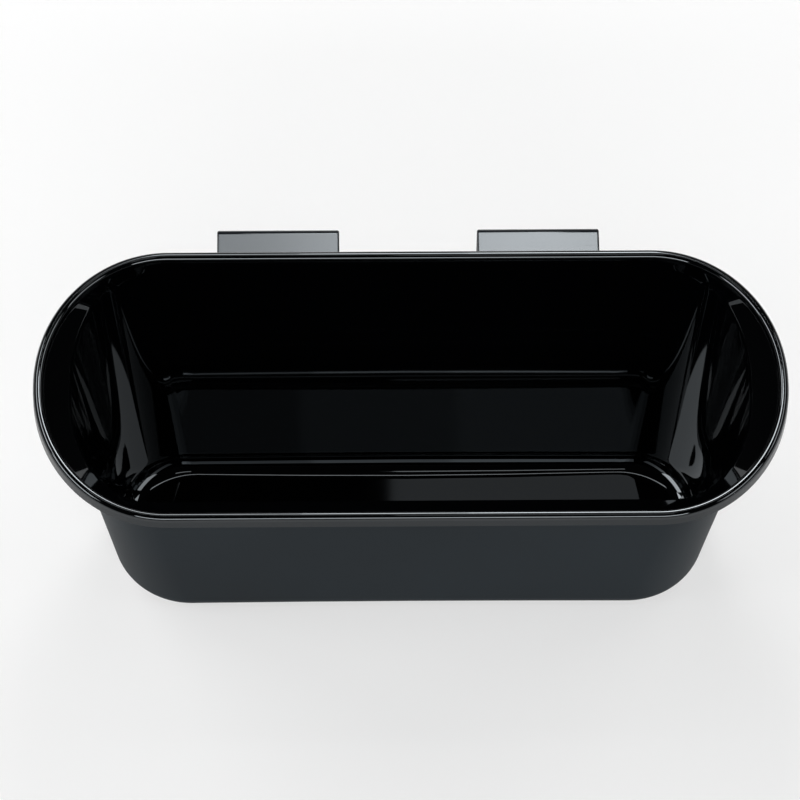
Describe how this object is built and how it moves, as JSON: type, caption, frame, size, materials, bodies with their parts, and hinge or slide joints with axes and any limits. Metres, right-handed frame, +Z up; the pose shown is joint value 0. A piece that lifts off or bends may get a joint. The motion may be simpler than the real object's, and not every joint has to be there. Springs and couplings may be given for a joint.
{
  "type": "hanging waste tub",
  "caption": "Open oval moulded kitchen waste tub with a rolled rim and flat lift-off hooks that hang it on the top edge of a cabinet door.",
  "frame": {"origin": "base plane of the tub, under the middle of the rim", "axes": "+X along the tub's length, +Y towards the door and the hooks, +Z up"},
  "size_m": [0.35, 0.1744, 0.136],
  "materials": {
    "black_plastic": "glossy black injection-moulded plastic",
    "hook_coating": "smooth satin black coated steel plate",
    "foam_pad": "matt closed-cell foam sheet"
  },
  "bodies": {
    "tub_body": {"tub": "black_plastic"},
    "hook_left_body": {"hook_left": "hook_coating", "rear_pad_left": "foam_pad", "front_pad_left": "foam_pad"},
    "hook_right_body": {"hook_right": "hook_coating", "rear_pad_right": "foam_pad", "front_pad_right": "foam_pad"}
  },
  "joints": [
    {"name": "hook_left_lift", "type": "slide", "parent": "tub_body", "child": "hook_left_body", "axis": [0, 0, -1], "range_m": [0, 0.024]},
    {"name": "hook_right_lift", "type": "slide", "parent": "tub_body", "child": "hook_right_body", "axis": [0, 0, -1], "range_m": [0, 0.024]}
  ]
}
